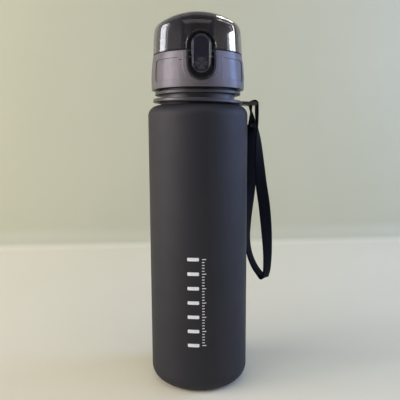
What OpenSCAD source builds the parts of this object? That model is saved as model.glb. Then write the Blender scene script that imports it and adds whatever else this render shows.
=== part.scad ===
// Sports bottle with a screw-on flip-top lid, a press latch and a swivelling carry ring with a wrist strap.
// Origin at the centre of the base, +Z up, the latch faces -Y and the strap hangs at +X. Millimetres.

/* [Bottle] */
// Outer diameter of the bottle body
body_d = 66; // [58:0.5:80]
// Height of the body, from the base to the top of the shoulder
body_h = 187; // [140:1:230]
// Wall thickness of the bottle
body_wall = 1.8; // [1.2:0.1:2.2]
// Rounding of the bottom edge
foot_round = 9; // [5:0.5:11]
// Rounding of the shoulder
shoulder_round = 7; // [4:0.5:8]

/* [Neck] */
// Outer diameter of the neck
neck_d = 48.6; // [44:0.2:51]
// Wall thickness of the neck
neck_wall = 2.2; // [1.6:0.1:2.6]
// Height of the neck above the shoulder
neck_h = 26.2; // [24:0.2:34]
// How far the flange that holds the carry ring captive stands out from the neck
flange_w = 3.9; // [3.2:0.1:5]
// Height of the flange's lower face above the shoulder
flange_rise = 6.4; // [6:0.1:8]
// Thickness of the flange
flange_t = 2.2; // [1.5:0.1:2.6]

/* [Thread] */
// Axial distance between two turns of the lid thread
thread_pitch = 4; // [3.4:0.1:4.6]
// Depth of the thread
thread_depth = 1.0; // [0.6:0.05:1.2]
// Turns of each thread ridge
thread_turns = 1.4; // [1:0.05:1.6]

/* [Lid] */
// Thickness of the collar's wall around the thread
collar_wall = 2.6; // [2.3:0.1:4]
// Height of the seam under the flip cap above the top of the neck
seam_rise = 5.2; // [5:0.1:9]
// Gap between the flange and the lid base
lid_gap = 1.2; // [0.6:0.1:2]
// Thickness of the outer shell of the lid base, at its widest
shell_t = 2.1; // [1.8:0.1:2.6]
// Width of the recessed side panels of the lid base
panel_w = 20; // [14:0.5:22]
// Height of the recessed side panels
panel_l = 13.2; // [9:0.2:14]
// Depth of the recessed side panels
panel_depth = 0.45; // [0.2:0.05:0.6]

/* [Flip cap] */
// Step from the side of the lid base in to the rim of the flip cap
cap_step = 1.5; // [0.6:0.1:2.5]
// Height of the flip cap above the seam
cap_h = 27.7; // [26:0.1:32]
// Wall thickness of the flip cap
cap_wall = 1.8; // [1.2:0.1:2.2]
// Rounding between the side and the crown of the cap
cap_round = 7; // [4:0.5:9]

/* [Spout] */
// Outer diameter of the mouthpiece
spout_d = 15.6; // [13:0.2:15.8]
// Wall thickness of the mouthpiece
spout_wall = 1.8; // [1.2:0.1:2.2]
// Height of the mouthpiece above the seam
spout_h = 12.8; // [11:0.2:14]

/* [Latch] */
// Width of the latch button
button_w = 11.4; // [9:0.2:12]
// Length of the latch button
button_l = 22.9; // [20:0.2:24]
// Height of the button's centre above the seam
button_rise = -2.4; // [-4:0.1:-1.6]
// Clearance at the sides of the button
button_gap = 2.1; // [1.2:0.1:2.6]
// Width of the raised rim around the button
rim_w = 1.3; // [0.8:0.1:1.8]
// Diameter of the button's pivot pin
button_pin_d = 1.2; // [0.9:0.1:1.3]

/* [Hinge] */
// Diameter of the hinge pin
hinge_pin_d = 2; // [1.4:0.1:2.4]
// Diameter of the hinge knuckles
knuckle_d = 4.8; // [4:0.1:5]

/* [Carry ring and strap] */
// Thickness of the carry ring
ring_t = 2.2; // [1.6:0.1:2.6]
// Radial width of the carry ring
ring_w = 4; // [3:0.1:4.4]
// Tilt of the loose ring, in degrees
ring_tilt = 1.7; // [0:0.1:2]
// How far the bar that holds the strap stands out from the side of the body
bar_reach = 4.6; // [4.4:0.1:8]
// Width of the strap webbing
strap_w = 8.5; // [6:0.5:9]
// Thickness of the strap webbing
strap_t = 1.2; // [0.8:0.1:1.6]

/* [Hidden] */
$fn = 96;
eps = 0.01;
big = 200;

// Clearances: between bodies that move, between fixed pieces, round a running pin, round a fixed pin
run_gap = 0.3;
fit_gap = 0.2;
pin_gap = 0.05;
press_gap = 0.02;

// Bottle
body_r = body_d / 2;
neck_r = neck_d / 2;
floor_t = body_wall + 0.4;
flange_z = body_h + flange_rise;
flange_r = neck_r + flange_w;
flange_round = 0.5;
neck_top = body_h + neck_h;
neck_bore_r = neck_r - neck_wall;
foot_groove = [body_r * 0.42, body_r * 0.58, 0.6];
crest_r = neck_r + thread_depth;
bore_r = crest_r + run_gap;
thread_top = neck_top - 7.9;
thread_step = 7.5;
thread_foot = 0.8;
thread_crest = 0.35;
thread_sink = 0.3;

// Lid: the collar turns on the neck and the shell is fixed round it
lid_bottom = flange_z + flange_t + lid_gap;
seam_z = neck_top + seam_rise;
lid_h = seam_z - lid_bottom;
collar_r = bore_r + collar_wall;
collar_top_r = collar_r - 1.2;
shell_in_r = collar_r + fit_gap;
lid_r = shell_in_r + shell_t;
lid_bulge = 90;
lid_belly = lid_bottom + 5.2;
step_z = seam_z - 9;
deck_z = neck_top + 2;
deck_t = 2.4;
collar_top = seam_z - 0.5;
gasket_z = neck_top + run_gap;
gasket_t = 1.5;
gasket_rim = 0.9;
panel_turn = 46;
panel_round = 2;
panel_foot = 4.3;

// Flip cap
cap_bottom = seam_z + run_gap;
cap_r = lid_r - cap_step;
cap_bulge = 130;
crown_r = 45;
cap_top = seam_z + cap_h;

// Latch button in its recess, with the rim and the pad around it
recess_y = -(bore_r + 1.3);
inner_r = neck_r - 4;
inner_y = -inner_r;
button_z = seam_z + button_rise;
button_face = -(lid_r + 0.1);
button_t = 1.9;
button_back = button_face + button_t;
button_edge = 0.9;
dish_depth = 0.55;
ripple_r = 0.22;
rim_z = button_z - 0.75;
recess_w = button_w + 2 * button_gap;
recess_l = button_l + 2 * button_gap;
rim_out_w = recess_w + 2 * rim_w;
rim_out_l = recess_l + 2 * rim_w;
rim_proud = 1;
pad_margin = 4.2;
pad_proud = 0.4;
pivot_y = button_face + 2.2;
pivot_z = button_z - 2;
boss_r = button_pin_d / 2 + 0.55;
boss_inset = 0.6;
pin_grip = 1.2;
nose_w = 6;
nose_l = 0.9;
nose_t = 2;
nose_z = button_z + button_l / 2 - 4.5;
catch_t = 1.2;
catch_z = nose_z - catch_t - 0.4;

// Hinge
hinge_y = cap_r + 2.3;
hinge_z = seam_z;
cap_knuckle = [3.3, 6];
lid_knuckle = [cap_knuckle[1] + run_gap, 9.5];

// Springs: half length, wire radius and radial gap to the pin
spring_turns = 7;
hinge_coil = [cap_knuckle[0] - run_gap, 0.35, 0.3];
button_coil = [2, 0.2, 0.15];
spring_bay = [button_coil[0] + run_gap, 0.75];

// Spout, and the liner and seal that close it
spout_r = spout_d / 2;
spout_top = seam_z + spout_h;
spout_foot_r = spout_r + 2.8;
spout_foot_top = spout_top - 6;
spout_round = 0.8;
seat_round = 0.4;
liner_r = spout_foot_r;
liner_bottom = spout_foot_top + 0.5;
liner_in_r = liner_r - 1.1;
seal_z = spout_top + run_gap;
seal_t = 2.1;

// Carry ring and the bar that holds the strap
ring_in_r = neck_r + 1.3;
ring_out_r = ring_in_r + ring_w;
ring_round = 0.6;
ring_z = body_h + 2.2;
bar_w = 2.4;
lug_arm = 2;
slot_l = strap_w + 1.6;
slot_w = 3.4;
bar_x = max(body_r + bar_reach, ring_out_r + slot_w + bar_reach);
bar_z = ring_z - sin(ring_tilt) * bar_x;
fold_r = bar_w / 2 + run_gap + strap_t / 2;
tack_t = 0.3;
tack_gap = 0.3;

// --- plane figures -------------------------------------------------------------------------------

// Half section of a round bar with rounded ends
module bar_half(r, z0, z1, f0, f1) {
    translate([0, z0 + f0]) square([r, z1 - z0 - f0 - f1]);
    translate([0, z0]) square([r - f0, z1 - z0]);
    translate([r - f0, z0 + f0]) circle(f0);
    translate([r - f1, z1 - f1]) circle(f1);
    translate([0, z0 + f0 + f1]) square([r - f1, z1 - z0 - f0 - f1]);
}

// Half section of the lid base, grown outwards by grow
module lid_half(grow) {
    intersection() {
        translate([lid_r - lid_bulge, lid_belly]) circle(lid_bulge + grow, $fn = 360);
        translate([0, lid_bottom]) square([big, lid_h]);
    }
}

// Where two circles cross, on the left of the way from p, of radius a, to q, of radius b
function crossing(p, a, q, b) =
    let (v = q - p, d = norm(v), k = (a * a - b * b + d * d) / (2 * d), h = sqrt(a * a - k * k))
    p + v / d * k + [-v[1], v[0]] / d * h;

side_c = [cap_r - cap_bulge, cap_bottom];
crown_c = [0, cap_top - crown_r];
round_c = crossing(side_c, cap_bulge - cap_round, crown_c, crown_r - cap_round);

// Points of an arc about centre c from angle a to angle b
function arc(c, r, a, b, n) = [for (k = [0:n]) let (t = a + (b - a) * k / n) c + r * [cos(t), sin(t)]];
function angle(v) = atan2(v[1], v[0]);

// Half section of the flip cap, grown outwards by grow: side, rounding and crown
module cap_half(grow) {
    side_a = angle(round_c - side_c);
    crown_a = angle(round_c - crown_c);
    polygon(concat(
        [[0, cap_bottom]],
        arc(side_c, cap_bulge + grow, 0, side_a, 4),
        arc(round_c, cap_round + grow, side_a + 9, crown_a, 7),
        arc(crown_c, crown_r + grow, crown_a + 4, 90, 7)));
}

// Upright stadium
module stadium(w, l) {
    square([w, l - w], center = true);
    for (s = [-1, 1]) translate([0, s * (l - w) / 2]) circle(d = w);
}

// Upright stadium as a bar along Y from y0 to y1, with its middle at height z
module stadium_bar(w, l, z, y0, y1) {
    translate([0, y1, z]) rotate([90, 0, 0]) linear_extrude(y1 - y0) stadium(w, l);
}

module rod_x(r, x0, x1, y, z) {
    translate([x0, y, z]) rotate([0, 90, 0]) cylinder(r = r, h = x1 - x0);
}

// --- swept shapes --------------------------------------------------------------------------------

// Faces of a tube of n rings with m points each
function tube_faces(n, m) = concat(
    [[for (i = [m - 1:-1:0]) i]],
    [for (k = [0:n - 2], i = [0:m - 1])
        let (a = k * m + i, b = k * m + (i + 1) % m)
        each [[a, b, b + m], [a, b + m, a + m]]],
    [[for (i = [0:m - 1]) (n - 1) * m + i]]);

// Helical ridge from radius foot to radius tip, rising by pitch in each turn from height z
module ridge(foot, tip, z) {
    n = floor(thread_turns * 360 / thread_step);
    section = [[foot, -thread_foot], [tip, -thread_crest], [tip, thread_crest], [foot, thread_foot]];
    order = tip > foot ? section : [section[3], section[2], section[1], section[0]];
    points = [for (k = [0:n], p = order)
        let (a = k * thread_step)
        [p[0] * cos(a), p[0] * sin(a), z + p[1] + thread_pitch * a / 360]];
    polyhedron(points, tube_faces(n + 1, 4));
}

// Coil along X round a pin of radius pin; coil holds its half length, wire radius and gap to the pin
module coil_x(coil, pin, y, z) {
    step = 24;
    m = 6;
    n = round(spring_turns * 360 / step);
    w = coil[1];
    r = pin + w + coil[2];
    x0 = -coil[0];
    x1 = coil[0];
    points = [for (k = [0:n], i = [0:m - 1])
        let (a = k * step, b = i * 360 / m, rr = r + w * cos(b))
        [x0 + w + (x1 - x0 - 2 * w) * k / n + w * sin(b), y + rr * cos(a), z + rr * sin(a)]];
    polyhedron(points, tube_faces(n + 1, m));
}

// --- bottle --------------------------------------------------------------------------------------

module bottle_body() {
    color([0.12, 0.12, 0.13]) {
        rotate_extrude() difference() {
            union() {
                bar_half(body_r, 0, body_h, foot_round, shoulder_round);
                translate([0, body_h - 1]) square([neck_r, neck_h + 1]);
                bar_half(flange_r, flange_z, flange_z + flange_t, flange_round, flange_round);
            }
            bar_half(body_r - body_wall, floor_t, body_h - body_wall,
                     foot_round - body_wall, shoulder_round - body_wall);
            translate([0, body_h / 2]) square([neck_bore_r, body_h]);
            translate([foot_groove[0], -1]) square([foot_groove[1] - foot_groove[0], foot_groove[2] + 1]);
        }
        ridge(neck_r - thread_sink, crest_r, thread_top - thread_turns * thread_pitch);
    }
}

// --- carry ring and strap ------------------------------------------------------------------------

module carry_ring() {
    color([0.2, 0.2, 0.22]) translate([0, 0, ring_z]) rotate([0, ring_tilt, 0]) {
        difference() {
            union() {
                rotate_extrude() translate([0, -ring_t / 2])
                    difference() {
                        bar_half(ring_out_r, 0, ring_t, ring_round, ring_round);
                        translate([-1, -1]) square([ring_in_r + 1, ring_t + 2]);
                    }
                translate([ring_out_r - 1.5, -slot_l / 2 - lug_arm, -ring_t / 2])
                    cube([bar_x - ring_out_r + 1.5, slot_l + 2 * lug_arm, ring_t]);
            }
            translate([bar_x - bar_w / 2 - slot_w, -slot_l / 2, -ring_t])
                cube([slot_w + bar_w, slot_l, 2 * ring_t]);
        }
        translate([bar_x, slot_l / 2 + lug_arm, 0]) rotate([90, 0, 0])
            cylinder(d = bar_w, h = slot_l + 2 * lug_arm);
    }
}

// Route of the middle of the webbing, from its inner end at the lap, up through the slot: x, y and
// height from the middle of the bar, and the turn of the webbing's width from the Y axis in degrees
strap_up = [[0.2, 4.2, -19, 56], [-0.3, 3.4, -14, 48], [-1.2, 1.6, -8, 26], [-2, 0.3, -3.5, 5]];
// The outer strand down, the loop's bottom, and the inner strand back up to the lap
strap_down = [
    [2.2, 0, -6, 0], [2.5, 0, -14, 8], [3.2, 0, -23, 32], [4, 0, -35, 52], [5.5, 0, -52, 74],
    [8, 0, -68, 78], [9.8, 0, -85, 70], [10.7, 0, -99, 58], [10.8, 0.2, -110, 48], [10.4, 1, -117, 34],
    [9.5, 3.2, -120.9, 20], [7.5, 7, -120, 10], [3.7, 11.5, -114.4, 7], [0.7, 15, -106, 12],
    [-0.5, 16.8, -96, 20], [-0.4, 16.8, -87, 31], [-0.1, 15.6, -77, 42], [0.5, 12.8, -64, 53],
    [0.7, 9.6, -52, 58], [0.4, 7.7, -40, 59], [0.1, 6.5, -28, 58], [-0.4, 5.6, -18, 57],
    [-0.95, 4.9, -13, 50]];
strap_fold = [for (a = [180:-30:0]) [fold_r * cos(a), 0, fold_r * sin(a), 0]];
strap_route = concat(strap_up, strap_fold, strap_down);

// Smooth curve through the points of a list, with m steps between two of them
function smooth(p, m) = concat(
    [for (k = [0:len(p) - 2], j = [0:m - 1])
        let (a = p[max(k - 1, 0)], b = p[k], c = p[k + 1], d = p[min(k + 2, len(p) - 1)], t = j / m)
        0.5 * (2 * b + (c - a) * t + (2 * a - 5 * b + 4 * c - d) * t * t
            + (3 * b - a - 3 * c + d) * t * t * t)],
    [p[len(p) - 1]]);

function place(p) = [p[0], p[1], p[2]];
function unit(v) = v / norm(v);

module wrist_strap() {
    route = smooth(strap_route, 2);
    last = len(route) - 1;
    points = [for (k = [0:last])
        let (
            t = unit(place(route[min(k + 1, last)]) - place(route[max(k - 1, 0)])),
            side = [sin(route[k][3]), cos(route[k][3]), 0],
            w = unit(side - t * (side * t)) * strap_w / 2,
            n = cross(t, unit(w)) * strap_t / 2,
            p = place(route[k]))
        each [p - w - n, p + w - n, p + w + n, p - w + n]];
    color([0.05, 0.05, 0.06]) translate([bar_x, 0, bar_z])
        polyhedron(points, tube_faces(last + 1, 4));
}

// Bar tack that joins the two plies of the lap
module strap_stitching() {
    lap = strap_up[1];
    out = strap_t / 2 + tack_t / 2 + tack_gap;
    color([0.09, 0.09, 0.1])
        translate([bar_x + lap[0] + out * cos(lap[3]), lap[1] - out * sin(lap[3]), bar_z + lap[2]])
            rotate([0, 0, 90 - lap[3]]) cube([strap_w - 3, tack_t, 2.4], center = true);
}

// --- lid -----------------------------------------------------------------------------------------

module lid_gasket() {
    color([0.75, 0.76, 0.78]) translate([0, 0, gasket_z]) difference() {
        cylinder(r = neck_r + gasket_rim, h = gasket_t);
        translate([0, 0, -1]) cylinder(r = neck_bore_r + fit_gap, h = gasket_t + 2);
    }
}

module side_panel() {
    translate([0, 0, lid_bottom + panel_foot + panel_l / 2]) rotate([90, 0, 0])
        linear_extrude(big) {
            square([panel_w - 2 * panel_round, panel_l], center = true);
            square([panel_w, panel_l - 2 * panel_round], center = true);
            for (x = [-1, 1], y = [-1, 1])
                translate([x * (panel_w / 2 - panel_round), y * (panel_l / 2 - panel_round)])
                    circle(panel_round);
        }
}

module lid_shell() {
    color([0.16, 0.15, 0.17]) difference() {
        union() {
            difference() {
                rotate_extrude() lid_half(0);
                intersection() {
                    rotate_extrude() difference() {
                        translate([0, lid_bottom - 1]) square([big / 4, lid_h + 2]);
                        lid_half(-panel_depth);
                    }
                    for (s = [-1, 1]) rotate([0, 0, s * panel_turn]) side_panel();
                }
            }
            intersection() {
                rotate_extrude() lid_half(pad_proud);
                stadium_bar(rim_out_w + pad_margin, rim_out_l + pad_margin, rim_z, -big / 2, inner_y);
            }
            intersection() {
                rotate_extrude() lid_half(rim_proud);
                stadium_bar(rim_out_w, rim_out_l, rim_z, -big / 2, inner_y);
            }
            for (s = [-1, 1]) lid_knuckle_block(s);
        }
        translate([0, 0, lid_bottom - 1]) cylinder(r = shell_in_r, h = step_z + fit_gap - lid_bottom + 1);
        cylinder(r = collar_top_r + fit_gap, h = 2 * big);
        stadium_bar(recess_w, recess_l, rim_z, -big / 2, inner_y);
        rod_x(hinge_pin_d / 2 + press_gap, -big / 2, big / 2, hinge_y, hinge_z);
        rod_x(button_pin_d / 2 + press_gap, -recess_w / 2 - pin_grip - fit_gap,
              recess_w / 2 + pin_grip + fit_gap, pivot_y, pivot_z);
    }
}

module lid_knuckle_block(s) {
    x0 = s > 0 ? lid_knuckle[0] : -lid_knuckle[1];
    len = lid_knuckle[1] - lid_knuckle[0];
    rod_x(knuckle_d / 2, x0, x0 + len, hinge_y, hinge_z);
    translate([x0, collar_top_r, hinge_z - knuckle_d / 2])
        cube([len, hinge_y - collar_top_r, knuckle_d / 2 - run_gap]);
}

module screw_collar() {
    color([0.2, 0.19, 0.21]) {
        difference() {
            union() {
                translate([0, 0, lid_bottom]) cylinder(r = collar_r, h = step_z - lid_bottom);
                translate([0, 0, lid_bottom]) cylinder(r = collar_top_r, h = collar_top - lid_bottom);
            }
            translate([0, 0, lid_bottom - 1]) cylinder(r = bore_r, h = deck_z - lid_bottom + 1);
            translate([0, 0, deck_z + deck_t]) cylinder(r = bore_r, h = big);
            cylinder(r = spout_r - spout_wall, h = 2 * big);
            stadium_bar(recess_w, recess_l, rim_z, -big / 2, recess_y);
        }
        ridge(bore_r + thread_sink, neck_r + run_gap, thread_top - (thread_turns - 0.5) * thread_pitch);
    }
}

module spout() {
    color([0.13, 0.13, 0.14]) rotate_extrude() difference() {
        union() {
            bar_half(spout_foot_r, deck_z + deck_t, spout_foot_top, seat_round, spout_round);
            bar_half(spout_r, deck_z + deck_t, spout_top, seat_round, spout_round);
        }
        translate([0, deck_z]) square([spout_r - spout_wall, big]);
    }
}

module hinge_pin() {
    color([0.75, 0.76, 0.78]) rod_x(hinge_pin_d / 2, -lid_knuckle[1], lid_knuckle[1], hinge_y, hinge_z);
}

module hinge_spring() {
    color([0.6, 0.61, 0.63]) coil_x(hinge_coil, hinge_pin_d / 2, hinge_y, hinge_z);
}

module button_pin() {
    color([0.75, 0.76, 0.78])
        rod_x(button_pin_d / 2, -recess_w / 2 - pin_grip, recess_w / 2 + pin_grip, pivot_y, pivot_z);
}

module button_spring() {
    color([0.6, 0.61, 0.63]) coil_x(button_coil, button_pin_d / 2, pivot_y, pivot_z);
}

// --- latch button --------------------------------------------------------------------------------

module latch_button() {
    touch_z = button_z - button_l / 2 + button_w / 2;
    color([0.07, 0.07, 0.09]) difference() {
        union() {
            difference() {
                stadium_bar(button_w, button_l, button_z, button_face, button_back);
                stadium_bar(button_w - 2 * button_edge, button_l - 2 * button_edge, button_z,
                            button_face - 1, button_face + dish_depth);
            }
            for (r = [1.1, 2.1, 3.1])
                translate([0, button_face + dish_depth, touch_z]) rotate([90, 0, 0])
                    rotate_extrude() translate([r, 0]) circle(ripple_r, $fn = 24);
            rod_x(boss_r, -button_w / 2 + boss_inset, button_w / 2 - boss_inset, pivot_y, pivot_z);
            translate([-nose_w / 2, button_back - eps, nose_z]) cube([nose_w, nose_l + eps, nose_t]);
        }
        rod_x(button_pin_d / 2 + pin_gap, -button_w, button_w, pivot_y, pivot_z);
        rod_x(button_pin_d / 2 + spring_bay[1], -spring_bay[0], spring_bay[0], pivot_y, pivot_z);
    }
}

// --- flip cap ------------------------------------------------------------------------------------

module flip_cap() {
    color([0.22, 0.21, 0.23, 0.6]) {
        difference() {
            union() {
                rotate_extrude() difference() {
                    cap_half(0);
                    cap_half(-cap_wall);
                }
                intersection() {
                    rotate_extrude() cap_half(rim_proud);
                    stadium_bar(rim_out_w, rim_out_l, rim_z, -big / 2, recess_y + 1.2);
                }
                for (s = [-1, 1]) cap_knuckle_block(s);
            }
            stadium_bar(recess_w, recess_l, rim_z, -big / 2, recess_y);
            rod_x(hinge_pin_d / 2 + pin_gap, -big / 2, big / 2, hinge_y, hinge_z);
            translate([-big / 2, -big / 2, cap_bottom - big]) cube([big, big / 2 + inner_r, big]);
        }
        cap_catch();
    }
}

// Ledge below the button's nose, just clear of its tip
module cap_catch() {
    y0 = button_back + nose_l + run_gap;
    translate([-nose_w / 2, y0, catch_z]) cube([nose_w, recess_y + 0.5 - y0, catch_t]);
}

module cap_knuckle_block(s) {
    x0 = s > 0 ? cap_knuckle[0] : -cap_knuckle[1];
    len = cap_knuckle[1] - cap_knuckle[0];
    rod_x(knuckle_d / 2, x0, x0 + len, hinge_y, hinge_z);
    translate([x0, cap_r - cap_wall + 0.3, cap_bottom])
        cube([len, hinge_y - cap_r + cap_wall - 0.3, knuckle_d / 2 - run_gap]);
}

module cap_liner() {
    color([0.1, 0.1, 0.12]) rotate_extrude() difference() {
        intersection() {
            translate([0, liner_bottom]) square([liner_r, big]);
            cap_half(-cap_wall - pin_gap);
        }
        translate([0, liner_bottom - 1]) square([liner_in_r, seal_z + seal_t + 0.1 - liner_bottom + 1]);
    }
}

module spout_seal() {
    color([0.7, 0.71, 0.73]) translate([0, 0, seal_z]) cylinder(r = liner_in_r - pin_gap, h = seal_t);
}

bottle_body();
carry_ring();
wrist_strap();
strap_stitching();
lid_gasket();
lid_shell();
screw_collar();
spout();
hinge_pin();
hinge_spring();
button_pin();
button_spring();
latch_button();
flip_cap();
cap_liner();
spout_seal();
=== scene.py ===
# A sports bottle with a screw-on flip-top lid, a press latch and a carry ring with a wrist strap.
# Metres, in the CAD model's frame: +Z up the bottle's axis, the latch faces -Y, the strap hangs at +X.
import math

import bmesh
import bpy
from mathutils import Matrix, Vector


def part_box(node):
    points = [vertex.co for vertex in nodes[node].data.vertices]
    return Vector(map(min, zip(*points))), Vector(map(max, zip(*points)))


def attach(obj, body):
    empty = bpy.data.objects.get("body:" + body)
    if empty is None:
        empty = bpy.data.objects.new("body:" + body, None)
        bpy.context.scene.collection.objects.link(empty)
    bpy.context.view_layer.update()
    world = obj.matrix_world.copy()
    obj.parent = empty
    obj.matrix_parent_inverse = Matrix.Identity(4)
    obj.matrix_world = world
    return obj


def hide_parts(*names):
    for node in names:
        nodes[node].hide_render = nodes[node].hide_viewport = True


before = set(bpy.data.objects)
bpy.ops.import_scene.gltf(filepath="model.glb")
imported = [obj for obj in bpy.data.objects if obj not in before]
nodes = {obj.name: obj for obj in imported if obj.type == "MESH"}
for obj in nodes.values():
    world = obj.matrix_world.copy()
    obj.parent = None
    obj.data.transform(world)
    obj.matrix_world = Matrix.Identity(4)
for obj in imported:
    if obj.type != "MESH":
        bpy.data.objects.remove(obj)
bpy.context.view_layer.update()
scene = bpy.context.scene
MM = 0.001


# --- camera --------------------------------------------------------------------------------------

CAMERA_AT = (-0.0254, -0.3300, 0.1673)
CAMERA_DOWN, CAMERA_TURN, CAMERA_ROLL = 7.51, -4.6, -0.27  # degrees
CAMERA_LENS, CAMERA_SENSOR = 44.0, 36.0


def make_camera():
    data = bpy.data.cameras.new("view_camera")
    data.lens = CAMERA_LENS
    data.sensor_width = CAMERA_SENSOR
    data.clip_start = 0.01
    data.clip_end = 20.0
    cam = bpy.data.objects.new("view_camera", data)
    pitch, turn, roll = (math.radians(a) for a in (90 - CAMERA_DOWN, CAMERA_TURN, CAMERA_ROLL))
    cam.matrix_world = (Matrix.Translation(CAMERA_AT) @ Matrix.Rotation(turn, 4, "Z")
                        @ Matrix.Rotation(pitch, 4, "X") @ Matrix.Rotation(roll, 4, "Z"))
    scene.collection.objects.link(cam)
    scene.camera = cam


make_camera()


# --- mesh helpers --------------------------------------------------------------------------------

def mesh_object(name, verts, faces, smooth=True, uvs=None):
    mesh = bpy.data.meshes.new(name)
    mesh.from_pydata([tuple(v) for v in verts], [], faces)
    if uvs:
        layer = mesh.uv_layers.new(name="UVMap")
        for loop in mesh.loops:
            layer.data[loop.index].uv = uvs[loop.vertex_index]
    mesh.validate()
    mesh.update()
    ob = bpy.data.objects.new(name, mesh)
    scene.collection.objects.link(ob)
    for p in mesh.polygons:
        p.use_smooth = smooth
    return ob


def catmull(points, steps):
    """Smooth curve through tuples of any length."""
    out = []
    last = len(points) - 1
    for k in range(last):
        a, b = points[max(k - 1, 0)], points[k]
        c, d = points[k + 1], points[min(k + 2, last)]
        for j in range(steps):
            t = j / steps
            out.append(tuple(
                0.5 * (2 * q + (r - p) * t + (2 * p - 5 * q + 4 * r - s) * t * t
                       + (3 * q - p - 3 * r + s) * t ** 3)
                for p, q, r, s in zip(a, b, c, d)))
    out.append(tuple(points[last]))
    return out


# --- node helpers --------------------------------------------------------------------------------

class Nodes:
    """A material's node tree with short calls."""

    def __init__(self, name):
        self.mat = bpy.data.materials.new(name)
        self.mat.use_nodes = True
        self.tree = self.mat.node_tree
        self.tree.nodes.clear()
        self.out = self.add("ShaderNodeOutputMaterial")

    def add(self, kind, **props):
        n = self.tree.nodes.new(kind)
        for k, v in props.items():
            setattr(n, k, v)
        return n

    def link(self, a, b):
        self.tree.links.new(a, b)

    def coords(self, scale=(1, 1, 1), kind="Object"):
        tc = self.add("ShaderNodeTexCoord")
        mp = self.add("ShaderNodeMapping")
        mp.inputs["Scale"].default_value = scale
        self.link(tc.outputs[kind], mp.inputs["Vector"])
        return mp.outputs["Vector"]

    def axis(self, letter):
        sep = self.add("ShaderNodeSeparateXYZ")
        self.link(self.coords(), sep.inputs[0])
        return sep.outputs[letter]

    def height(self):
        return self.axis("Z")

    def stadium(self, half_w, half_l, z, soft=0.05 * MM):
        """1 inside an upright stadium centred on the front of the bottle, 0 outside it"""
        past = self.math("ABSOLUTE", self.math("SUBTRACT", self.axis("Z"), z))
        past = self.math("MAXIMUM", self.math("SUBTRACT", past, half_l - half_w), 0.0)
        x = self.axis("X")
        squares = self.math("ADD", self.math("MULTIPLY", x, x), self.math("MULTIPLY", past, past))
        away = self.math("SQRT", squares)
        inside = self.spread(away, half_w - soft, half_w + soft, 1.0, 0.0)
        return self.math("MULTIPLY", inside, self.spread(self.axis("Y"), -0.010, -0.008, 1.0, 0.0))

    def noise(self, scale, detail=2.0, rough=0.5, vector=None, distortion=0.0):
        n = self.add("ShaderNodeTexNoise")
        n.inputs["Scale"].default_value = scale
        n.inputs["Detail"].default_value = detail
        n.inputs["Roughness"].default_value = rough
        n.inputs["Distortion"].default_value = distortion
        self.link(vector if vector is not None else self.coords(), n.inputs["Vector"])
        return n.outputs["Fac"]

    def spread(self, value, lo, hi, a=0.0, b=1.0):
        """value from lo..hi mapped to a..b, held at the ends"""
        m = self.add("ShaderNodeMapRange")
        for k, v in zip(("From Min", "From Max", "To Min", "To Max"), (lo, hi, a, b)):
            m.inputs[k].default_value = v
        self.link(value, m.inputs["Value"])
        return m.outputs["Result"]

    def math(self, op, a, b=None):
        m = self.add("ShaderNodeMath", operation=op)
        for k, v in enumerate((a, b)):
            if v is None:
                continue
            if isinstance(v, (int, float)):
                m.inputs[k].default_value = v
            else:
                self.link(v, m.inputs[k])
        return m.outputs[0]

    def mix(self, fac, a, b):
        m = self.add("ShaderNodeMix", data_type="RGBA")
        self.link(fac, m.inputs["Factor"])
        for k, v in (("A", a), ("B", b)):
            socket = [s for s in m.inputs if s.name == k and s.type == "RGBA"][0]
            if isinstance(v, tuple):
                socket.default_value = (*v, 1)
            else:
                self.link(v, socket)
        return [s for s in m.outputs if s.type == "RGBA"][0]

    def bump(self, height, distance, strength=1.0, normal=None):
        b = self.add("ShaderNodeBump")
        b.inputs["Strength"].default_value = strength
        b.inputs["Distance"].default_value = distance
        self.link(height, b.inputs["Height"])
        if normal is not None:
            self.link(normal, b.inputs["Normal"])
        return b.outputs["Normal"]

    def soft_edges(self, radius):
        b = self.add("ShaderNodeBevel")
        b.samples = 6
        b.inputs["Radius"].default_value = radius
        return b.outputs["Normal"]

    def principled(self, **values):
        p = self.add("ShaderNodeBsdfPrincipled")
        for k, v in values.items():
            name = k.replace("_", " ")
            socket = p.inputs[name]
            if isinstance(v, tuple):
                socket.default_value = (*v, 1) if len(v) == 3 and socket.type == "RGBA" else v
            elif isinstance(v, (int, float)):
                socket.default_value = v
            else:
                self.link(v, socket)
        return p

    def finish(self, shader):
        self.link(shader, self.out.inputs["Surface"])
        return self.mat


# The rim around the button: its colour, and half its width, half its length and the height of its middle
RIM_BLACK = (0.008, 0.0075, 0.012)
BUTTON_RIM = (9.15 * MM, 14.90 * MM, 215.25 * MM)


def moulded(name, dark, light, rough, grain=0.00002, grain_scale=5000, edges=0.0003, spread=0.06, rim=None,
            **more):
    """Moulded plastic: colour that drifts a little, a fine grain, handling marks and softened edges."""
    n = Nodes(name)
    cloud = n.noise(45, 4, 0.6)
    fine = n.noise(grain_scale, 2, 0.6)
    smudge = n.noise(90, 5, 0.65, distortion=0.6)
    colour = n.mix(n.spread(cloud, 0.3, 0.7), dark, light)
    if rim:
        colour = n.mix(n.stadium(*rim), colour, RIM_BLACK)
    scuff = n.noise(1.0, 6, 0.7, n.coords((260, 260, 900)))
    marks = n.spread(scuff, 0.68, 0.8)
    roughness = n.math("ADD", n.spread(smudge, 0.35, 0.7, rough - spread, rough + spread),
                       n.math("MULTIPLY", marks, 0.12))
    normal = n.bump(fine, grain, 1.0, n.soft_edges(edges))
    p = n.principled(Base_Color=colour, Roughness=roughness, Normal=normal, **more)
    return n.finish(p.outputs[0])


def set_material(ob, mat):
    ob.data.materials.clear()
    ob.data.materials.append(mat)


# --- wrist strap ---------------------------------------------------------------------------------

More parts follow.
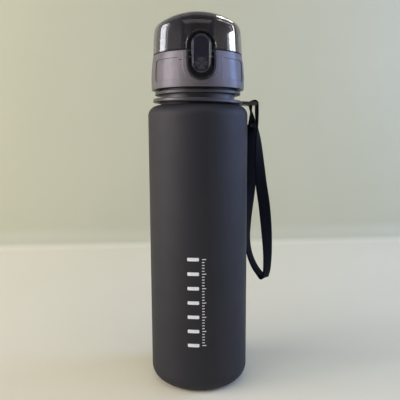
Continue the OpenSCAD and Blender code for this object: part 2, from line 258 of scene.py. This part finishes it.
STRAP_W = 8.5 * MM
STRAP_T = 1.2 * MM
BAR = Vector((0.0376, 0.0, 0.18808))
FOLD_R = 2.1
TACK_AT = 1  # the point of UP where the bar tack sits
# Chosen points of the webbing's middle: x, y and z from the bar in mm, and the turn of its width in degrees
UP = [(0.2, 4.2, -19, 56), (-0.3, 3.4, -14, 48), (-1.2, 1.6, -8, 26), (-2, 0.3, -3.5, 5)]
FOLD = [(FOLD_R * math.cos(math.radians(a)), 0, FOLD_R * math.sin(math.radians(a)), 0)
        for a in range(180, -1, -30)]
DOWN = [
    (2.2, 0, -6, 0), (2.5, 0, -14, 8), (3.2, 0, -23, 32), (4, 0, -35, 52), (5.5, 0, -52, 74),
    (8, 0, -68, 78), (9.8, 0, -85, 70), (10.7, 0, -99, 58), (10.8, 0.2, -110, 50), (10.4, 1, -117, 45),
    (9.5, 3.2, -120.9, 41), (7.5, 7, -120, 38), (3.7, 11.5, -114.4, 35), (0.7, 15, -106, 33),
    (-0.5, 16.8, -96, 34), (-0.4, 16.8, -87, 38), (-0.1, 15.6, -77, 44), (0.5, 12.8, -64, 53),
    (0.7, 9.6, -52, 58), (0.4, 7.7, -40, 59), (0.1, 6.5, -28, 58), (-0.4, 5.6, -18, 57),
    (-0.95, 4.9, -13, 50)]


# The weave: rise of the slant over a column, pitch of the yarns along it, yarns across it
SLANT_RISE, YARN_PITCH, WARP_YARNS = 0.0011, 0.00105, 12


def webbing_material():
    n = Nodes("webbing")
    uv = n.coords((1, 1, 1), "UV")
    sep = n.add("ShaderNodeSeparateXYZ")
    n.link(uv, sep.inputs[0])
    across, along = sep.outputs["X"], sep.outputs["Y"]
    # herringbone: slanted yarns whose slant turns over at each of four columns across the webbing
    column = n.math("PINGPONG", n.math("MULTIPLY", across, 4.0), 1.0)
    slant = n.math("ADD", along, n.math("MULTIPLY", column, SLANT_RISE))
    yarn = n.math("SINE", n.math("MULTIPLY", slant, 2 * math.pi / YARN_PITCH))
    warp = n.math("SINE", n.math("MULTIPLY", across, 2 * math.pi * WARP_YARNS))
    weave = n.math("ADD", n.spread(yarn, -1, 1, 0, 0.75), n.spread(warp, -1, 1, 0, 0.25))
    fuzz = n.noise(9000, 3, 0.7)
    height = n.math("ADD", weave, n.math("MULTIPLY", fuzz, 0.35))
    # painted highlight: the colour turns lighter along both round selvedges
    selvedge_highlight = n.spread(n.math("ABSOLUTE", n.math("SUBTRACT", across, 0.5)), 0.42, 0.49)
    drift = n.spread(n.noise(220, 4, 0.6), 0.3, 0.7, 0.65, 1.0)
    # the colour drifts at random, and is darker in the low parts of the weave: painted shade between the
    # yarns
    drift_and_weave_shade = n.math("MULTIPLY", drift, n.spread(height, 0.1, 1.1, 0.4, 1.0))
    base = n.mix(drift_and_weave_shade, (0.0006, 0.0008, 0.0020), (0.0036, 0.0042, 0.0085))
    colour = n.mix(n.math("MULTIPLY", selvedge_highlight, 0.55), base, (0.007, 0.008, 0.0135))
    rough = n.spread(height, 0.0, 1.2, 0.92, 0.68)
    normal = n.bump(height, 0.00016, 0.9)
    p = n.principled(Base_Color=colour, Roughness=rough, Normal=normal, Sheen_Weight=0.03,
                     Sheen_Roughness=0.45, Specular_IOR_Level=0.07)
    return n.finish(p.outputs[0])


def thread_material():
    n = Nodes("thread")
    twist = n.add("ShaderNodeTexWave", wave_type="BANDS", bands_direction="DIAGONAL")
    n.link(n.coords(), twist.inputs["Vector"])
    twist.inputs["Scale"].default_value = 900
    twist.inputs["Distortion"].default_value = 1.5
    # painted shade: the thread's colour is darker in the grooves of its twist, where the bump is low
    colour = n.mix(twist.outputs["Fac"], (0.012, 0.012, 0.017), (0.045, 0.046, 0.058))
    rough = n.spread(n.noise(3000), 0.3, 0.7, 0.5, 0.75)
    p = n.principled(Base_Color=colour, Roughness=rough, Normal=n.bump(twist.outputs["Fac"], 0.00006),
                     Sheen_Weight=0.2)
    return n.finish(p.outputs[0])


def strap_section():
    """Points (across, through) of flat webbing with round selvedges, anticlockwise."""
    half, t = STRAP_W / 2, STRAP_T / 2
    r = t * 0.92
    top = [(-half + r + (2 * half - 2 * r) * k / 6, t) for k in range(7)]
    right = [(half - r + r * math.sin(math.radians(a)), t * math.cos(math.radians(a)))
             for a in range(30, 151, 30)]
    bottom = [(-x, -y) for x, y in top]
    left = [(-x, -y) for x, y in right]
    return top + right + bottom + left


def make_strap():
    route = catmull(UP + FOLD + DOWN, 5)
    places = [BAR + Vector(p[:3]) * MM for p in route]
    section = strap_section()
    m = len(section)
    verts, uvs, faces = [], [], []
    run = 0.0
    last = len(route) - 1
    for k, p in enumerate(places):
        if k:
            run += (p - places[k - 1]).length
        t = (places[min(k + 1, last)] - places[max(k - 1, 0)]).normalized()
        a = math.radians(route[k][3])
        side = Vector((math.sin(a), math.cos(a), 0))
        w = (side - t * side.dot(t)).normalized()
        n = t.cross(w)
        ends = min(k, last - k)
        close = {0: 0.72, 1: 0.97}.get(ends, 1.0)
        for x, y in section:
            verts.append(p + w * x + n * y * close)
            uvs.append((x / STRAP_W + 0.5, run))
    for k in range(last):
        for i in range(m):
            j = (i + 1) % m
            faces.append((k * m + j, k * m + i, (k + 1) * m + i, (k + 1) * m + j))
    faces.append(tuple(range(m)))
    faces.append(tuple(last * m + i for i in range(m - 1, -1, -1)))
    ob = mesh_object("strap_webbing", verts, faces, uvs=uvs)
    recalc(ob)
    return ob, places, run


def recalc(ob):
    bm = bmesh.new()
    bm.from_mesh(ob.data)
    bmesh.ops.recalc_face_normals(bm, faces=bm.faces)
    bm.to_mesh(ob.data)
    bm.free()


def tube(points, radius, sides):
    """Vertices and faces of a round tube through points, with domed ends."""
    verts, faces = [], []
    count = len(points)
    ref = Vector((0.123, 0.456, 0.882))
    rings = []
    for k, p in enumerate(points):
        t = (points[min(k + 1, count - 1)] - points[max(k - 1, 0)]).normalized()
        u = t.cross(ref).normalized()
        v = t.cross(u)
        rings.append((p, t, u, v))
    dome = [(-1.0, 0.05), (-0.7, 0.7)]  # distance past the end and size, as shares of the radius
    p, t, u, v = rings[0]
    sections = [(p + t * radius * d, u, v, s) for d, s in dome]
    sections += [(q, a, b, 1.0) for q, _, a, b in rings]
    p, t, u, v = rings[-1]
    sections += [(p - t * radius * d, u, v, s) for d, s in reversed(dome)]
    for p, u, v, s in sections:
        for i in range(sides):
            a = 2 * math.pi * i / sides
            verts.append(p + (u * math.cos(a) + v * math.sin(a)) * radius * s)
    for k in range(len(sections) - 1):
        for i in range(sides):
            j = (i + 1) % sides
            faces.append((k * sides + i, k * sides + j, (k + 1) * sides + j, (k + 1) * sides + i))
    faces.append(tuple(range(sides - 1, -1, -1)))
    faces.append(tuple((len(sections) - 1) * sides + i for i in range(sides)))
    return verts, faces


def join_parts(name, parts, smooth=True):
    verts, faces = [], []
    for v, f in parts:
        base = len(verts)
        verts += v
        faces += [tuple(base + i for i in face) for face in f]
    ob = mesh_object(name, verts, faces, smooth)
    recalc(ob)
    return ob


def make_tack():
    """The bar tack that joins the two plies: a row of close stitches that lean to and fro."""
    x, y, z, turn = UP[TACK_AT]
    a = math.radians(turn)
    out = Vector((math.cos(a), -math.sin(a), 0))
    side = Vector((math.sin(a), math.cos(a), 0))
    centre = BAR + Vector((x, y, z)) * MM + out * (STRAP_T / 2 + 0.10 * MM)
    half_w, half_h, r = 2.75 * MM, 1.2 * MM, 0.16 * MM
    parts = []
    count = 13
    for k in range(count):
        s = -half_w + 2 * half_w * k / (count - 1)
        lean = 0.12 * MM if k % 2 else -0.12 * MM
        points = []
        for j in range(5):
            f = j / 4
            lift = math.sin(math.pi * f) * 0.16 * MM
            points.append(centre + side * (s + lean * (2 * f - 1)) + out * lift
                          + Vector((0, 0, half_h * (2 * f - 1))))
        parts.append(tube(points, r, 6))
    return join_parts("strap_bar_tack", parts)


strap, strap_path, strap_length = make_strap()
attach(strap, "strap")
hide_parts("wrist_strap")
set_material(strap, webbing_material())
tack = make_tack()
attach(tack, "strap")
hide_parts("strap_stitching")
set_material(tack, thread_material())


# --- finishes of the CAD pieces ------------------------------------------------------------------

# Heights between which one look turns into another
NECK_FROM = (0.1895, 0.1905)
CROWN_FROM = (0.2370, 0.2425)
CAP_FOOT_TO = (0.21925, 0.21945)


def frosted_body():
    n = Nodes("body_frosted")
    cloud = n.noise(18, 3, 0.5)
    fine = n.noise(5200, 2, 0.7)
    speck = n.noise(1500, 2, 0.5)
    smudge = n.noise(60, 5, 0.6, distortion=0.8)
    colour = n.mix(n.spread(cloud, 0.3, 0.7), (0.0085, 0.0085, 0.0125), (0.0115, 0.0113, 0.0160))
    dust = n.spread(n.noise(2600, 1, 0.4), 0.78, 0.84)
    colour = n.mix(n.math("MULTIPLY", dust, 0.3), colour, (0.09, 0.09, 0.09))
    # the neck above the frosted shoulder is left smooth, so glossier; its colour is also made lighter
    # there, a painted sheen
    neck = n.spread(n.height(), *NECK_FROM)
    colour = n.mix(neck, colour, (0.040, 0.038, 0.044))
    rough = n.math("SUBTRACT", n.spread(smudge, 0.3, 0.7, 0.57, 0.64), n.math("MULTIPLY", neck, 0.24))
    height = n.math("ADD", fine, n.math("MULTIPLY", speck, 0.5))
    p = n.principled(Base_Color=colour, Roughness=rough, Normal=n.bump(height, 0.00003, 0.8),
                     Specular_IOR_Level=0.43)
    return n.finish(p.outputs[0])


def smoke_cap():
    n = Nodes("cap_smoke")
    smudge = n.noise(70, 5, 0.65, distortion=0.7)
    flow = n.noise(1.0, 3, 0.5, n.coords((30, 30, 9)))
    fine = n.noise(3200, 2, 0.6)
    rough = n.spread(smudge, 0.35, 0.75, 0.035, 0.11)
    colour = n.mix(n.spread(flow, 0.3, 0.7), (0.034, 0.031, 0.040), (0.050, 0.046, 0.057))
    normal = n.bump(fine, 0.0000015, 1.0, n.soft_edges(0.0004))
    p = n.principled(Base_Color=colour, Roughness=rough, Normal=normal, IOR=1.5,
                     Coat_Weight=0.4, Coat_Roughness=0.03)
    clear = n.add("ShaderNodeBsdfTransparent")
    tint = n.mix(n.spread(flow, 0.3, 0.7), (0.93, 0.91, 0.945), (0.965, 0.95, 0.975))
    # painted shade: the crown is made darker and less clear than the side, as it looks darker than the side
    # in the photograph; the wall is as thick in both
    tint = n.mix(n.spread(n.height(), *CROWN_FROM), tint, (0.56, 0.545, 0.58))
    # the rim around the button is black and lets little light through; the foot of the cap gets painted
    # shade, a dark opaque band that stands for the shaded seam above the lid
    foot = n.spread(n.height(), *CAP_FOOT_TO, 1.0, 0.0)
    closed = n.math("MAXIMUM", n.stadium(*BUTTON_RIM), foot)
    tint = n.mix(closed, tint, (0.10, 0.09, 0.11))
    colour = n.mix(closed, colour, RIM_BLACK)
    n.link(tint, clear.inputs["Color"])
    m = n.add("ShaderNodeMixShader")
    m.inputs[0].default_value = 0.5
    n.link(p.outputs[0], m.inputs[1])
    n.link(clear.outputs[0], m.inputs[2])
    return n.finish(m.outputs[0])


def steel():
    n = Nodes("steel_wire")
    draw = n.noise(1.0, 3, 0.6, n.coords((300, 6000, 6000)))
    colour = n.mix(n.spread(draw, 0.3, 0.7), (0.5, 0.5, 0.52), (0.68, 0.68, 0.7))
    p = n.principled(Base_Color=colour, Metallic=1.0, Roughness=n.spread(draw, 0.3, 0.7, 0.18, 0.34),
                     Normal=n.bump(draw, 0.000004))
    return n.finish(p.outputs[0])


def silicone():
    n = Nodes("silicone")
    cloud = n.noise(160, 3, 0.5)
    fine = n.noise(2500, 2, 0.6)
    colour = n.mix(n.spread(cloud, 0.3, 0.7), (0.46, 0.47, 0.49), (0.60, 0.61, 0.63))
    p = n.principled(Base_Color=colour, Roughness=n.spread(fine, 0.3, 0.7, 0.34, 0.5),
                     Normal=n.bump(fine, 0.00001), Subsurface_Weight=0.25, Subsurface_Scale=0.002)
    return n.finish(p.outputs[0])


finishes = {
    "bottle_body": frosted_body(),
    "carry_ring": moulded("ring_satin", (0.036, 0.035, 0.040), (0.050, 0.049, 0.055), 0.34),
    "lid_shell": moulded("lid_pearl", (0.100, 0.092, 0.105), (0.122, 0.112, 0.127), 0.54,
                         grain=0.000004, rim=BUTTON_RIM, Metallic=0.35, Coat_Weight=0.35,
                         Coat_Roughness=0.22),
    "screw_collar": moulded("collar_black", (0.018, 0.017, 0.020), (0.028, 0.027, 0.031), 0.42),
    "spout": moulded("spout_black", (0.020, 0.020, 0.022), (0.030, 0.030, 0.033), 0.4),
    "cap_liner": moulded("liner_black", (0.012, 0.012, 0.015), (0.020, 0.020, 0.024), 0.38),
    "latch_button": moulded("button_black", (0.010, 0.009, 0.018), (0.015, 0.014, 0.024), 0.2,
                            grain=0.000003, spread=0.04, Coat_Weight=0.5, Coat_Roughness=0.06),
    "flip_cap": smoke_cap(),
    "lid_gasket": silicone(),
    "spout_seal": silicone(),
    "hinge_pin": steel(),
    "hinge_spring": steel(),
    "button_pin": moulded("pin_black", (0.012, 0.012, 0.015), (0.02, 0.02, 0.024), 0.35),
    "button_spring": steel(),
}
for node_name, mat in finishes.items():
    set_material(nodes[node_name], mat)
    for poly in nodes[node_name].data.polygons:
        poly.use_smooth = True


def round_edges(ob, width):
    """Small rounded edges, as moulded pieces have."""
    weld = ob.modifiers.new("weld", "WELD")
    weld.merge_threshold = 0.002 * MM
    bevel = ob.modifiers.new("edges", "BEVEL")
    bevel.width = width
    bevel.segments = 2
    bevel.limit_method = "ANGLE"
    bevel.angle_limit = math.radians(48)
    bevel.use_clamp_overlap = False
    shade = ob.modifiers.new("shade", "WEIGHTED_NORMAL")
    shade.weight = 50


for node_name, width in (("flip_cap", 0.32), ("lid_shell", 0.08), ("latch_button", 0.22)):
    round_edges(nodes[node_name], width * MM)


# --- printed scale on the body -------------------------------------------------------------------

def wrapped_bar(w, h, r, radius, turn, z, thick):
    """A thin closed bar w across and h up, with round corners, wrapped on the body at angle turn."""
    columns = [-w / 2 + r - r * math.cos(math.radians(a)) for a in (0, 25, 50, 70, 90)]
    inner = max(2, round((w - 2 * r) / (0.5 * MM)))
    columns += [-w / 2 + r + (w - 2 * r) * k / inner for k in range(1, inner)]
    columns += [-x for x in reversed(columns[:5])]
    verts, faces = [], []
    for x in columns:
        over = max(0.0, abs(x) - (w / 2 - r))
        top = h / 2 - r + math.sqrt(max(0.0, r * r - over * over))
        a = turn + x / radius
        for q in (radius - 0.03 * MM, radius + thick):
            for y in (-top, top):
                verts.append(Vector((q * math.cos(a), q * math.sin(a), z + y)))
    for k in range(len(columns) - 1):
        a, b = 4 * k, 4 * k + 4
        for i, j in ((0, 1), (1, 3), (3, 2), (2, 0)):
            faces.append((a + i, a + j, b + j, b + i))
    end = 4 * (len(columns) - 1)
    faces += [(0, 2, 3, 1), (end, end + 1, end + 3, end + 2)]
    return verts, faces


def print_ink():
    n = Nodes("print_ink")
    patchy = n.noise(900, 4, 0.7)
    colour = n.mix(n.spread(patchy, 0.35, 0.7), (0.80, 0.80, 0.81), (0.66, 0.66, 0.68))
    p = n.principled(Base_Color=colour, Roughness=n.spread(patchy, 0.3, 0.7, 0.5, 0.62),
                     Normal=n.bump(n.noise(4000), 0.00001))
    return n.finish(p.outputs[0])


# The scale, in mm: plain bars, with ticks beside them. Each size is width, height and corner.
SCALE_BARS, SCALE_FOOT, SCALE_STEP = 7, 34, 9.4
BAR_SIZE = (7.4, 2.2, 0.5)
TICKS_A_STEP, TICK_H, TICK_ROUND, LONG_TICK, SHORT_TICK = 5, 0.5, 0.15, 2.6, 1.6
TICKS_ASIDE = 5.6
SCALE_TURN = -90 - 10.5  # degrees around the body
INK = 0.02 * MM


def make_scale():
    lo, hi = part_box("bottle_body")
    radius = (hi.x - lo.x) / 2
    front = math.radians(SCALE_TURN)
    bar = [v * MM for v in BAR_SIZE]
    parts = []
    for k in range(SCALE_BARS):
        z = (SCALE_FOOT + SCALE_STEP * k) * MM
        parts.append(wrapped_bar(*bar, radius, front, z, INK))
        for j in range(TICKS_A_STEP if k < SCALE_BARS - 1 else 1):
            w = SHORT_TICK if j else LONG_TICK
            turn = front + (TICKS_ASIDE + w / 2) * MM / radius
            parts.append(wrapped_bar(w * MM, TICK_H * MM, TICK_ROUND * MM, radius, turn,
                                     z + j * SCALE_STEP / TICKS_A_STEP * MM, INK))
    return join_parts("level_scale", parts, smooth=False)


level_scale = make_scale()
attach(level_scale, "bottle")
set_material(level_scale, print_ink())


# --- floor, backdrop and light -------------------------------------------------------------------

def pale_surface():
    n = Nodes("pale_floor")
    cloud = n.noise(3, 3, 0.5)
    fine = n.noise(700, 3, 0.6)
    up = n.spread(n.height(), 0.0, 0.008)
    floor = n.mix(n.spread(cloud, 0.3, 0.7), (0.745, 0.72, 0.575), (0.785, 0.76, 0.61))
    wall = n.mix(n.spread(cloud, 0.3, 0.7), (0.465, 0.468, 0.335), (0.50, 0.503, 0.365))
    p = n.principled(Base_Color=n.mix(up, floor, wall), Roughness=n.spread(fine, 0.3, 0.7, 0.4, 0.5),
                     Normal=n.bump(fine, 0.00002), Specular_IOR_Level=0.35)
    return n.finish(p.outputs[0])


def make_sweep():
    """The floor, with a wall behind that it curves up into."""
    reach, back, wall, r = 2.2, 0.42, 0.5, 0.03
    line = [(-reach, 0.0), (-0.6, 0.0), (0.1, 0.0), (back - r, 0.0)]
    line += [(back - r + r * math.sin(math.radians(a)), r - r * math.cos(math.radians(a)))
             for a in range(10, 91, 10)]
    line += [(back, 0.2), (back, wall)]
    verts, faces = [], []
    for y, z in line:
        verts += [Vector((-reach, y, z)), Vector((reach, y, z))]
    for k in range(len(line) - 1):
        faces.append((2 * k, 2 * k + 1, 2 * k + 3, 2 * k + 2))
    ob = mesh_object("studio_sweep", verts, faces)
    set_material(ob, pale_surface())


def area_light(name, at, to, width, height, power, colour):
    data = bpy.data.lights.new(name, "AREA")
    data.shape = "RECTANGLE"
    data.size, data.size_y = width, height
    data.energy = power
    data.color = colour
    ob = bpy.data.objects.new(name, data)
    ob.location = at
    ob.rotation_mode = "QUATERNION"
    ob.rotation_quaternion = (Vector(to) - Vector(at)).to_track_quat("-Z", "Y")
    ob.visible_camera = False
    scene.collection.objects.link(ob)
    return ob


def choose_receivers(lamp, pieces, state):
    """Lights only these pieces (INCLUDE) or everything but these (EXCLUDE)."""
    group = bpy.data.collections.new(lamp.name + "_receivers")
    for ob in pieces:
        group.objects.link(ob)
    lamp.light_linking.receiver_collection = group
    for member in group.collection_objects:
        member.light_linking.link_state = state


CAMERA_SIDE = -94.4  # degrees, the way from the bottle to the camera


def around(turn, distance, height):
    """A point at turn degrees from the camera's side (positive to the viewer's right)."""
    a = math.radians(CAMERA_SIDE + turn)
    return (distance * math.cos(a), distance * math.sin(a), height)


make_sweep()
# lamps of the room; they leave the see-through cap to the panes below
ROOM_AIM, CAP_AIM = (0, 0, 0.15), (0, 0, 0.23)
room = [
    area_light("left_room", around(-80, 1.2, 0.5), ROOM_AIM, 0.6, 0.8, 9.6, (1.0, 0.93, 0.96)),
    area_light("left_near", around(-58, 1.2, 0.5), ROOM_AIM, 0.7, 0.8, 7.0, (1.0, 0.89, 0.91)),
    area_light("right_front", around(60, 1.2, 0.5), ROOM_AIM, 0.7, 0.8, 3.2, (0.58, 0.66, 1.0)),
    area_light("right_room", around(80, 1.2, 0.5), ROOM_AIM, 0.6, 0.8, 3.2, (0.66, 0.70, 1.0)),
    area_light("right_window", around(100, 0.8, 0.40), ROOM_AIM, 0.28, 0.50, 3.6, (0.36, 0.52, 1.0)),
]
area_light("front", around(0, 0.9, 1.6), (0, 0, 0.1), 1.8, 1.2, 9.4, (1.0, 0.97, 0.80))
# panes whose reflections show in the cap and the button, and that light nothing else
panes = [
    area_light("left_pane", around(-100, 0.9, 0.45), CAP_AIM, 0.32, 0.80, 11.0, (0.96, 0.97, 1.0)),
    area_light("right_pane", around(100, 0.9, 0.41), CAP_AIM, 0.36, 0.20, 5.5, (0.88, 0.97, 1.0)),
    area_light("right_slit", around(111, 0.9, 0.62), CAP_AIM, 0.09, 0.30, 1.6, (1.0, 0.98, 1.0)),
    area_light("back_pane", (0.38, 0.70, 0.82), CAP_AIM, 0.34, 0.10, 2.2, (1.0, 0.99, 0.98)),
]
glossy = [nodes["flip_cap"], nodes["latch_button"]]
for lamp in room:
    choose_receivers(lamp, glossy[:1], "EXCLUDE")
for lamp in panes:
    choose_receivers(lamp, glossy, "INCLUDE")

world = bpy.data.worlds.new("studio")
scene.world = world
world.use_nodes = True
background = world.node_tree.nodes["Background"]
background.inputs["Color"].default_value = (0.80, 0.85, 0.90, 1)
background.inputs["Strength"].default_value = 0.12
scene.view_settings.view_transform = "Standard"
